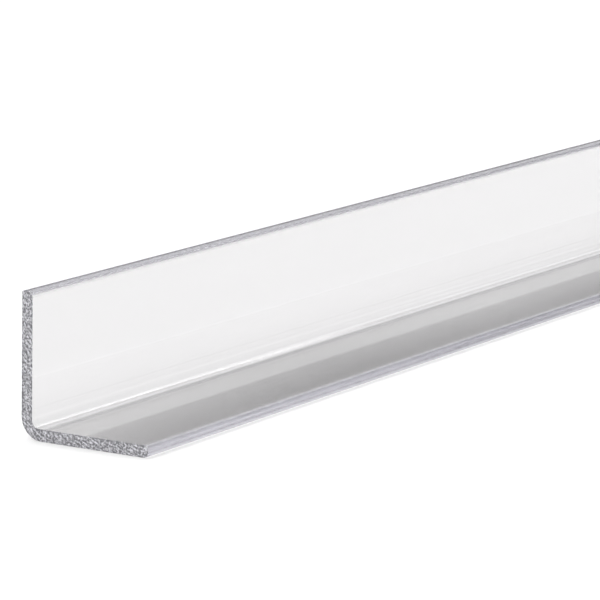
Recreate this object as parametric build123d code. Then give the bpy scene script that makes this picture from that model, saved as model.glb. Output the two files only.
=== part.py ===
from build123d import *

import os

# Equal-leg angle of clear polycarbonate, extruded in one piece and sawn square to length.
# Millimetres, with +X along the bar and +Z up. The bar lies on one leg, whose toe points
# to -Y, and the other leg stands along the +Y side. The origin is under the bar's middle.

# Driving dimensions
BAR_LENGTH = 1219.2  # a four-foot stock length
LEG = 38.1  # outside width of each leg, from the heel's faces to the toe
WALL = 3.175  # thickness of both legs
HEEL_RADIUS = 6.0  # outside corner where the legs meet
ROOT_RADIUS = 1.6  # inside corner where the legs meet
LYING_TOE_RADIUS = 1.2  # both edges along the lying leg's toe
STANDING_TOE_INNER_RADIUS = 1.8  # edge along the standing leg's toe, on the side of the root
STANDING_TOE_OUTER_RADIUS = 0.3  # edge along the standing leg's toe, on the back
TOE_FLAT_SHARE = 0.2  # least share of the wall that stays flat between a toe's two edges

# Faces of the section, measured across the bar from its middle
back_y = LEG / 2
inner_y = back_y - WALL
front_y = back_y - LEG

# Corners of the section, each as its place across the bar and its height
HEEL = (back_y, 0)
ROOT = (inner_y, WALL)
LYING_TOE = [(front_y, 0), (front_y, WALL)]
STANDING_TOE = [(inner_y, LEG), (back_y, LEG)]


def toe_radii(first, second):
    """The radii of a toe's two edges, made smaller together where a thin wall asks for it."""
    share = min(1, WALL * (1 - TOE_FLAT_SHARE) / (first + second))
    return first * share, second * share


def die_section():
    """The L that the extrusion die gives, with all six corners rounded."""
    corner_radii = [(HEEL, HEEL_RADIUS), (ROOT, ROOT_RADIUS)]
    corner_radii += zip(LYING_TOE, toe_radii(LYING_TOE_RADIUS, LYING_TOE_RADIUS))
    corner_radii += zip(STANDING_TOE, toe_radii(STANDING_TOE_INNER_RADIUS, STANDING_TOE_OUTER_RADIUS))
    with BuildSketch(Plane.YZ) as section:
        with BuildLine():
            Polyline(HEEL, *LYING_TOE, ROOT, *STANDING_TOE, close=True)
        make_face()
        for corner, radius in corner_radii:
            fillet(section.vertices().sort_by_distance(corner)[0], radius)
    return section.sketch


# The saw cuts both ends square to the length
polycarbonate_angle = extrude(die_section(), BAR_LENGTH / 2, both=True)

os.makedirs("parts", exist_ok=True)
export_step(polycarbonate_angle, "parts/polycarbonate_angle.step")
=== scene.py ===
import math

import bpy
import numpy as np
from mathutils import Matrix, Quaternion, Vector, geometry


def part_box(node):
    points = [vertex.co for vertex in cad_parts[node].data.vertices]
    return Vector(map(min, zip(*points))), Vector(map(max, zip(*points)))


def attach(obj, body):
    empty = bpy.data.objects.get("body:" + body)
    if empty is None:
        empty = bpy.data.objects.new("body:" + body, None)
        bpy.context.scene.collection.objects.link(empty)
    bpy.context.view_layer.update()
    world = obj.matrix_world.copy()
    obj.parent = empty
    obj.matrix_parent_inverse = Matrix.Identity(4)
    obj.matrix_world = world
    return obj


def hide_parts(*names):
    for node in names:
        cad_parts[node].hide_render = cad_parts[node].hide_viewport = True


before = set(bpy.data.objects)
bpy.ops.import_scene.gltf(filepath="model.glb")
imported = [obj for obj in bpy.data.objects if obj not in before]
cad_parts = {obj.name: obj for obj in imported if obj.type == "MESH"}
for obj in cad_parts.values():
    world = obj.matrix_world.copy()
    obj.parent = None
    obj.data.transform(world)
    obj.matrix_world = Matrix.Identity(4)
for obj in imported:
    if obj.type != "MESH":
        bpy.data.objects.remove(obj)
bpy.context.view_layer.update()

# The die section: the L that the hot plastic is pushed through, in metres across and up. The
# die rounds the heel, the root and both toes, and nicks in it draw a fine line along the back
# and one along the toe. Each stretch has its true outward normal, to bend light as one surface.
bar_low, bar_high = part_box("polycarbonate_angle")
WALL = 0.003175
HEEL_RADIUS = 0.006
ROOT_RADIUS = 0.0021
LYING_TOE_RADIUS = 0.0012
STANDING_TOE_INNER_RADIUS = 0.0018
STANDING_TOE_OUTER_RADIUS = 0.0003
ARC_FACETS = 24
FLAT_PITCH = 0.0003
BACK_FLAT = 0
TOE_FLAT = 4
DIE_LINES = {
    BACK_FLAT: {"height": 0.0075, "width": 0.00014, "depth": 0.000012},
    TOE_FLAT: {"height": 0.00138, "width": 0.0003, "depth": 0.00009},
}
DIE_LINE_FACETS = 12

inner_y = bar_high.y - WALL
inner_z = bar_low.z + WALL
DIE_CORNERS = [
    ((bar_high.y, bar_low.z), HEEL_RADIUS),
    ((bar_high.y, bar_high.z), STANDING_TOE_OUTER_RADIUS),
    ((inner_y, bar_high.z), STANDING_TOE_INNER_RADIUS),
    ((inner_y, inner_z), ROOT_RADIUS),
    ((bar_low.y, inner_z), LYING_TOE_RADIUS),
    ((bar_low.y, bar_low.z), LYING_TOE_RADIUS),
]


def flat_spots(length, line, line_middle):
    """Place along a flat, depth and slope of each point on it, with its die line's own points."""
    places = np.arange(1, round(length / FLAT_PITCH)) * FLAT_PITCH
    if line is None:
        return [(place, 0.0, 0.0) for place in places]
    width = line["width"]
    spots = [(place, 0.0, 0.0) for place in places if abs(place - line_middle) > width]
    for share in np.arange(DIE_LINE_FACETS + 1) / DIE_LINE_FACETS - 0.5:
        phase = 2 * math.pi * share
        depth = line["depth"] * (0.5 + 0.5 * math.cos(phase))
        slope = -line["depth"] * math.pi / width * math.sin(phase)
        spots.append((line_middle + width * share, depth, slope))
    return sorted(spots)


def die_outline(corners):
    """Points round the section and their outward normals, anticlockwise seen from +X."""
    places = [np.array(place) for place, _ in corners]
    radii = [radius for _, radius in corners]
    points, normals = [], []
    for at, radius in enumerate(radii):
        following = (at + 1) % len(corners)
        corner, before, after = places[at], places[at - 1], places[following]
        into = (corner - before) / np.linalg.norm(corner - before)
        out = (after - corner) / np.linalg.norm(after - corner)
        side = math.copysign(1, into[0] * out[1] - into[1] * out[0])
        centre = corner - into * radius + out * radius
        for turn in np.linspace(0, math.pi / 2, ARC_FACETS + 1):
            spoke = into * math.sin(turn) - out * math.cos(turn)
            points.append(centre + spoke * radius)
            normals.append(spoke * side)
        start, flat_normal = points[-1], normals[-1]
        length = np.linalg.norm(after - out * radii[following] - start)
        line = DIE_LINES.get(at)
        line_middle = abs(line["height"] - start[1]) if line else None
        for along, depth, slope in flat_spots(length, line, line_middle):
            points.append(start + out * along - flat_normal * depth)
            normals.append((flat_normal + out * slope) / math.hypot(1, slope))
    return np.array(points), np.array(normals)


outline, outline_normals = die_outline(DIE_CORNERS)

# The sawn ends: both ends are cut square by a circular saw and left as cut. The teeth leave
# arcs across the face, a millimetre or so apart, with torn specks and soft smears between.
CUT_PITCH = 0.00016
EDGE_CLEARANCE = 0.6 * CUT_PITCH
CUT_TOLERANCE = 1e-9
FILL_INSIDE = 1
SAW_CENTRE = (-0.03, 0.058)
SAW_REACH = 0.06
TOOTH_PITCH = 0.00102
TOOTH_DEPTH = 0.00009
WEAKEST_TOOTH = 0.35
TOOTH_WANDER = 0.0006
WANDER_SIZE = 0.004
TEAR_DEPTH = 0.0001
TEAR_SIZE = 0.0005
RIM_WIDTH = 0.0004
NEAR_END_SEED = 11
FAR_END_SEED = 47
NOISE_CELLS = 256


def fill_points(edge):
    """A staggered grid of points inside the section, kept clear of its edge."""
    low, high = edge.min(0), edge.max(0)
    rows = np.arange(low[1], high[1], CUT_PITCH * math.sqrt(3) / 2)
    grid = np.array([
        (across, up)
        for at, up in enumerate(rows)
        for across in np.arange(low[0] + (at % 2) * CUT_PITCH / 2, high[0], CUT_PITCH)
        if across > inner_y or up < inner_z + ROOT_RADIUS
    ])
    inside = np.zeros(len(grid), bool)
    clear = np.ones(len(grid), bool)
    for a, b in zip(edge, np.roll(edge, -1, axis=0)):
        if a[1] != b[1]:
            spans = (a[1] > grid[:, 1]) != (b[1] > grid[:, 1])
            crossing = a[0] + (grid[:, 1] - a[1]) * (b[0] - a[0]) / (b[1] - a[1])
            inside ^= spans & (grid[:, 0] < crossing)
        clear &= ((grid - a) ** 2).sum(1) > EDGE_CLEARANCE ** 2
    return grid[inside & clear]


cut_points = np.vstack([outline, fill_points(outline)])
_, _, filled_faces, filled_from, _, _ = geometry.delaunay_2d_cdt(
    [Vector(point) for point in cut_points], [], [list(range(len(outline)))], FILL_INSIDE, CUT_TOLERANCE
)
source = [ids[0] for ids in filled_from]
cut_faces = np.array([[source[corner] for corner in face] for face in filled_faces])


def value_noise(places, cell, seed):
    """Smooth random heights from 0 to 1 at places, on a square lattice of the given cell."""
    table = np.random.default_rng(seed).random((NOISE_CELLS, NOISE_CELLS))
    scaled = places / cell
    whole = np.floor(scaled).astype(int)
    part = scaled - whole
    part = part * part * (3 - 2 * part)
    a, b = whole[:, 0] % NOISE_CELLS, whole[:, 1] % NOISE_CELLS
    c, d = (a + 1) % NOISE_CELLS, (b + 1) % NOISE_CELLS
    near = table[a, b] * (1 - part[:, 0]) + table[c, b] * part[:, 0]
    far = table[a, d] * (1 - part[:, 0]) + table[c, d] * part[:, 0]
    return near * (1 - part[:, 1]) + far * part[:, 1]


def saw_relief(seed):
    """How deep the saw has cut below the end's highest points, in metres, at each cut point."""
    wander = value_noise(cut_points, WANDER_SIZE, seed) * TOOTH_WANDER
    tooth = (np.hypot(*(cut_points - SAW_CENTRE).T) + wander) / TOOTH_PITCH
    strength = value_noise(np.c_[np.floor(tooth), np.zeros(len(tooth))], 1.0, seed + 1)
    bite = WEAKEST_TOOTH + (1 - WEAKEST_TOOTH) * strength
    groove = (0.5 - 0.5 * np.cos(2 * math.pi * tooth)) * bite
    tear = value_noise(cut_points, TEAR_SIZE, seed + 2) ** 2
    return TOOTH_DEPTH * groove + TEAR_DEPTH * tear


# The bar: one extruded length of clear polycarbonate between the two cuts. Its long faces
# are as smooth as the die left them, the ends are frosted, and it is all one closed mesh.
count = len(cut_points)
ring = np.arange(len(outline))
ahead = np.roll(ring, -1)
near_end = np.c_[bar_low.x + saw_relief(NEAR_END_SEED), cut_points]
far_end = np.c_[bar_high.x - saw_relief(FAR_END_SEED), cut_points]
side_faces = np.c_[ring, ahead, ahead + count, ring + count]
bar_mesh = bpy.data.meshes.new("polycarbonate_angle_bar")
bar_mesh.from_pydata(
    np.vstack([near_end, far_end]).tolist(),
    [],
    side_faces.tolist() + cut_faces[:, ::-1].tolist() + (cut_faces + count).tolist(),
)
bar_mesh.polygons.foreach_set(
    "material_index", np.r_[np.zeros(len(side_faces), int), np.ones(2 * len(cut_faces), int)]
)
rim_gap = np.full(count, np.inf)
for place in outline:
    rim_gap = np.minimum(rim_gap, np.hypot(*(cut_points - place).T))
rim = np.clip(1 - rim_gap / RIM_WIDTH, 0, 1)
bar_mesh.attributes.new("rim", "FLOAT", "POINT").data.foreach_set("value", np.r_[rim, rim])
bar_mesh.polygons.foreach_set("use_smooth", np.ones(len(bar_mesh.polygons), bool))


def cut_normals(places, faces):
    """Corner normals of a cut face, smoothed over the triangles round each point."""
    a, b, c = (places[faces[:, at]] for at in range(3))
    flat = np.cross(b - a, c - a)
    summed = np.zeros_like(places)
    for at in range(3):
        np.add.at(summed, faces[:, at], flat)
    smoothed = summed[faces].reshape(-1, 3)
    return smoothed / np.linalg.norm(smoothed, axis=1)[:, None]


side_normals = np.c_[np.zeros(len(outline)), outline_normals]
corner_normals = np.vstack([
    side_normals[side_faces % count].reshape(-1, 3),
    cut_normals(near_end, cut_faces[:, ::-1]),
    cut_normals(far_end, cut_faces),
])
bar_mesh.normals_split_custom_set(corner_normals.tolist())
bar = bpy.data.objects.new("polycarbonate_angle_bar", bar_mesh)
bpy.context.scene.collection.objects.link(bar)


class Signal:
    """A socket of a node tree. Sums on it add Math nodes, and node() adds any other kind."""

    def __init__(self, tree, socket=None):
        self.tree = tree
        self.socket = socket

    def node(self, kind, settings=None, inputs=None, output=0):
        """Adds a node, makes its settings, then fills its inputs with values or signals."""
        made = self.tree.nodes.new(kind)
        for name, value in (settings or {}).items():
            if name == "stops":
                stops = made.color_ramp.elements
                while len(stops) < len(value):
                    stops.new(1.0)
                for stop, (place, shade) in zip(stops, value):
                    stop.position = place
                    stop.color = (shade, shade, shade, 1)
            else:
                setattr(made, name, value)
        for name, value in (inputs or {}).items():
            if isinstance(value, Signal):
                self.tree.links.new(value.socket, made.inputs[name])
            else:
                made.inputs[name].default_value = value
        return Signal(self.tree, made.outputs[output] if len(made.outputs) else None)

    def part(self, axis):
        """The X, Y or Z of a vector."""
        return self.node("ShaderNodeSeparateXYZ", inputs={"Vector": self}, output=axis)

    def rise(self, begin, full):
        """Goes from 0 where this signal is at begin to 1 where it is at full, and no further."""
        return self.node("ShaderNodeMapRange", inputs={
            "Value": self,
            "From Min": begin,
            "From Max": full,
        })

    def sum_of(self, operation, *values):
        """Adds a Math node for an operation on values or signals."""
        return self.node("ShaderNodeMath", {"operation": operation}, dict(enumerate(values)))

    def __add__(self, other):
        return self.sum_of("ADD", self, other)

    def __sub__(self, other):
        return self.sum_of("SUBTRACT", self, other)

    def __rsub__(self, other):
        return self.sum_of("SUBTRACT", other, self)

    def __mul__(self, other):
        return self.sum_of("MULTIPLY", self, other)

    def __truediv__(self, other):
        return self.sum_of("DIVIDE", self, other)

    def __pow__(self, other):
        return self.sum_of("POWER", self, other)

    def __abs__(self):
        return self.sum_of("ABSOLUTE", self)

    __radd__ = __add__
    __rmul__ = __mul__


def new_finish(name):
    """An empty material and the signal that its nodes grow from."""
    finish = bpy.data.materials.new(name)
    finish.use_nodes = True
    finish.node_tree.nodes.clear()
    return finish, Signal(finish.node_tree)


# As extruded, the plastic is glassy. It is faintly grey, and lilac where light goes far through it.
POLYCARBONATE_IOR = 1.585
CLEAR_TINT = (0.785, 0.779, 0.782, 1)
SOAK_COLOUR = (0.37, 0.36, 0.58, 1)
SOAK_DENSITY = 3.7
clear, grow = new_finish("clear_polycarbonate")
body = grow.node("ShaderNodeBsdfPrincipled", inputs={
    "Base Color": CLEAR_TINT,
    "Transmission Weight": 1.0,
    "IOR": POLYCARBONATE_IOR,
    "Roughness": 0.0,
})
soak = grow.node("ShaderNodeVolumeAbsorption", inputs={"Color": SOAK_COLOUR, "Density": SOAK_DENSITY})
grow.node("ShaderNodeOutputMaterial", inputs={"Surface": body, "Volume": soak})

# As sawn, it is frosted. Streaks follow the teeth's arcs, with specks between, the light ones painted
# glints, and a rim darkened by painted shade.
SAWN_DARK = (0.15, 0.148, 0.162, 1)
SAWN_LIGHT = (0.72, 0.715, 0.76, 1)
SAWN_MIDDLE = 0.36
SAWN_ROUGHNESS = 0.5
STREAK_WIDTH = 0.0003
STREAK_LENGTH = 0.0014
STREAK_CONTRAST = 2.5
TOOTH_CONTRAST = 0.14
SPECKS_AND_GLINTS_PER_METRE = 1900.0
SPECK_AND_GLINT_CONTRAST = 2.7
SMEARS_PER_METRE = 400.0
SMEAR_REACH = 0.0009
RIM_DARKENING = 0.3
NOISE_MIDDLE = 0.5
MIX_FIRST = 6  # a Mix node's colour sockets go by their places
MIX_SECOND = 7
MIX_RESULT = 2
sawn, grow = new_finish("sawn_polycarbonate")
place = grow.node("ShaderNodeTexCoord", output="Object")
across = place.part("Y") - SAW_CENTRE[0]
up = place.part("Z") - SAW_CENTRE[1]
reach = (across * across + up * up) ** 0.5
turn = grow.sum_of("ARCTAN2", up, across) * SAW_REACH
along = grow.node("ShaderNodeCombineXYZ", inputs={"X": reach / STREAK_WIDTH, "Y": turn / STREAK_LENGTH})


def noise(vector, scale, detail):
    """Soft noise from 0 to 1 at the places of a vector, with as many grains to its unit as the scale."""
    return grow.node("ShaderNodeTexNoise", inputs={"Vector": vector, "Scale": scale, "Detail": detail})


streak = noise(along, 1.0, 2.0)
smear = noise(place, SMEARS_PER_METRE, 1.0)
tooth = grow.sum_of("SINE", (reach + smear * SMEAR_REACH) * (2 * math.pi / TOOTH_PITCH))
# Painted highlight: the light specks are painted glints.
speck_and_glint = noise(place, SPECKS_AND_GLINTS_PER_METRE, 1.0)
# Painted shade: the base colour darkens towards the rim.
rim_shade = grow.node("ShaderNodeAttribute", {"attribute_name": "rim"}, output="Fac")
streaks = (streak - NOISE_MIDDLE) * STREAK_CONTRAST
specks_and_glints = (speck_and_glint - NOISE_MIDDLE) * SPECK_AND_GLINT_CONTRAST
light = streaks + tooth * TOOTH_CONTRAST + specks_and_glints + SAWN_MIDDLE - rim_shade * RIM_DARKENING
tone = grow.node(
    "ShaderNodeMix",
    {"data_type": "RGBA"},
    {"Factor": light, MIX_FIRST: SAWN_DARK, MIX_SECOND: SAWN_LIGHT},
    MIX_RESULT,
)
frost = grow.node("ShaderNodeBsdfPrincipled", inputs={
    "Base Color": tone,
    "Roughness": SAWN_ROUGHNESS,
    "IOR": POLYCARBONATE_IOR,
})
grow.node("ShaderNodeOutputMaterial", inputs={"Surface": frost})

bar_mesh.materials.append(clear)
bar_mesh.materials.append(sawn)
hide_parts("polycarbonate_angle")
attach(bar, "root")

# The floor: a plain white table top of matt board that glows a little, as if lit from below.
# It lies just under the bar, so that the two faces don't coincide. Its glow holds painted shade in
# a patch under the bar, deepest a little way in from the near end, and painted light behind the bar.
FLOOR_REACH = 40.0
FLOOR_GAP = 0.0002
FLOOR_WHITE = (0.8, 0.8, 0.8, 1)
FLOOR_GLOW = 0.25
PAINTED_SHADE_SHARE = 0.52
PAINTED_SHADE_ALONG = ((-0.66, -0.5), (-0.395, -0.49))
PAINTED_SHADE_ACROSS = ((-0.0175, -0.013), (0.017, 0.012))
PAINTED_THROWN_LIGHT_SHARE = 0.34
PAINTED_THROWN_LIGHT_ACROSS = ((0.065, 0.0605), (0.03, 0.05))
floor_mesh = bpy.data.meshes.new("floor")
floor_mesh.from_pydata(
    [(x * FLOOR_REACH, y * FLOOR_REACH, -FLOOR_GAP) for x, y in ((-1, -1), (1, -1), (1, 1), (-1, 1))],
    [],
    [(0, 1, 2, 3)],
)
floor = bpy.data.objects.new("floor", floor_mesh)
bpy.context.scene.collection.objects.link(floor)
white, grow = new_finish("white_table")
table_place = grow.node("ShaderNodeTexCoord", output="Object")


def soft_patch(level, along, across):
    """A patch of the table with soft edges, each given by where it begins and where it is full."""
    for axis, edges in (("X", along), ("Y", across)):
        for begin, full in edges:
            level = level * table_place.part(axis).rise(begin, full)
    return level


# Painted shade and painted light: the glow is dimmed under the bar and raised in a strip behind it.
shade = soft_patch(PAINTED_SHADE_SHARE, PAINTED_SHADE_ALONG, PAINTED_SHADE_ACROSS)
painted_thrown_light = soft_patch(PAINTED_THROWN_LIGHT_SHARE, (), PAINTED_THROWN_LIGHT_ACROSS)
paint = grow.node("ShaderNodeBsdfPrincipled", inputs={
    "Base Color": FLOOR_WHITE,
    "Roughness": 1.0,
    "Specular IOR Level": 0.0,
    "Emission Color": 1 - shade + painted_thrown_light,
    "Emission Strength": FLOOR_GLOW,
})
grow.node("ShaderNodeOutputMaterial", inputs={"Surface": paint})
floor_mesh.materials.append(white)

# The light: a white studio round the bar, given in degrees round its length, from level behind
# it (0) over the top (90) to level in front (180). There is a soft ceiling, a lower screen and a
# panel behind, a weak front, and one lamp tube along the bar that fades towards its far end.
LIGHT_PEAK = 4.0
ROOM_FROM = 0.0
ROOM_SPAN = 180.0
ROOM_STOPS = [
    (0.0, 1.46), (6.0, 1.32), (12.0, 0.93), (17.0, 0.34), (19.5, 0.1), (20.5, 0.0), (23.5, 0.0),
    (26.0, 0.5), (30.0, 1.2), (35.0, 1.4), (40.0, 1.0), (45.0, 0.28), (52.0, 0.95),
    (60.0, 1.52), (80.0, 1.64), (99.0, 1.64), (103.0, 1.17), (106.5, 0.6), (110.0, 0.6),
    (112.0, 0.8), (116.0, 0.6), (120.0, 0.35), (126.0, 0.5), (154.0, 0.5), (157.0, 0.8),
    (160.0, 0.8), (162.0, 0.5), (170.0, 0.4), (178.0, 0.0), (180.0, 0.0),
]
PANEL_FROM = 20.0
PANEL_SPAN = 4.0
PANEL_STOPS = [(20.0, 0.0), (21.2, 0.92), (22.2, 0.82), (22.25, 0.38), (22.8, 0.0), (24.0, 0.0)]
LAMP_PLACE = 109.9
LAMP_HALF_WIDTH = 0.7
LAMP_BLUR = 0.2
LAMP_LEVEL = 6.0
LAMP_FADE_START = 0.83
LAMP_FADE_END = 0.882
world = bpy.data.worlds.new("studio")
bpy.context.scene.world = world
world.use_nodes = True
world.node_tree.nodes.clear()
grow = Signal(world.node_tree)
direction = grow.node("ShaderNodeTexCoord", output="Generated")
swing = grow.sum_of("ARCTAN2", direction.part("Z"), direction.part("Y")) * (180 / math.pi)


def light_round(stops, start, span):
    """The light at each degree round the bar, between its stops."""
    scaled = [((degrees - start) / span, level / LIGHT_PEAK) for degrees, level in stops]
    ramp = grow.node("ShaderNodeValToRGB", {"stops": scaled}, {"Fac": (swing - start) / span})
    return ramp * LIGHT_PEAK


room = light_round(ROOM_STOPS, ROOM_FROM, ROOM_SPAN)
panel = light_round(PANEL_STOPS, PANEL_FROM, PANEL_SPAN)
tube = abs(swing - LAMP_PLACE).rise(LAMP_HALF_WIDTH + LAMP_BLUR, LAMP_HALF_WIDTH - LAMP_BLUR)
lamp = tube * LAMP_LEVEL * direction.part("X").rise(LAMP_FADE_END, LAMP_FADE_START)
studio = grow.node("ShaderNodeBackground", inputs={
    "Color": (1, 1, 1, 1),
    "Strength": room + panel + lamp,
})
grow.node("ShaderNodeOutputWorld", inputs={"Surface": studio})

# The camera: the photograph's view, low over the near sawn end and along the bar. Light may
# turn many times inside the plastic, and its sharp lines aren't softened.
CAMERA_PLACE = Vector((-1.4136, -0.5397, 0.2235))
CAMERA_AIM = Vector((0.8445, 0.5017, -0.1876))
CAMERA_ROLL = math.radians(1.05)
CAMERA_LENS = 237.8
CAMERA_SENSOR = 36.0
NEAREST_SEEN = 0.01
FARTHEST_SEEN = 100.0
LIGHT_TURNS = 32
camera_data = bpy.data.cameras.new("camera")
camera_data.lens = CAMERA_LENS
camera_data.sensor_width = CAMERA_SENSOR
camera_data.clip_start = NEAREST_SEEN
camera_data.clip_end = FARTHEST_SEEN
camera = bpy.data.objects.new("camera", camera_data)
bpy.context.scene.collection.objects.link(camera)
camera.location = CAMERA_PLACE
camera.rotation_mode = "QUATERNION"
camera.rotation_quaternion = CAMERA_AIM.to_track_quat("-Z", "Y") @ Quaternion((0, 0, 1), CAMERA_ROLL)
bpy.context.scene.camera = camera
bpy.context.scene.view_settings.view_transform = "Standard"
bpy.context.scene.cycles.max_bounces = LIGHT_TURNS
bpy.context.scene.cycles.transmission_bounces = LIGHT_TURNS
bpy.context.scene.cycles.glossy_bounces = LIGHT_TURNS
bpy.context.scene.cycles.blur_glossy = 0.0
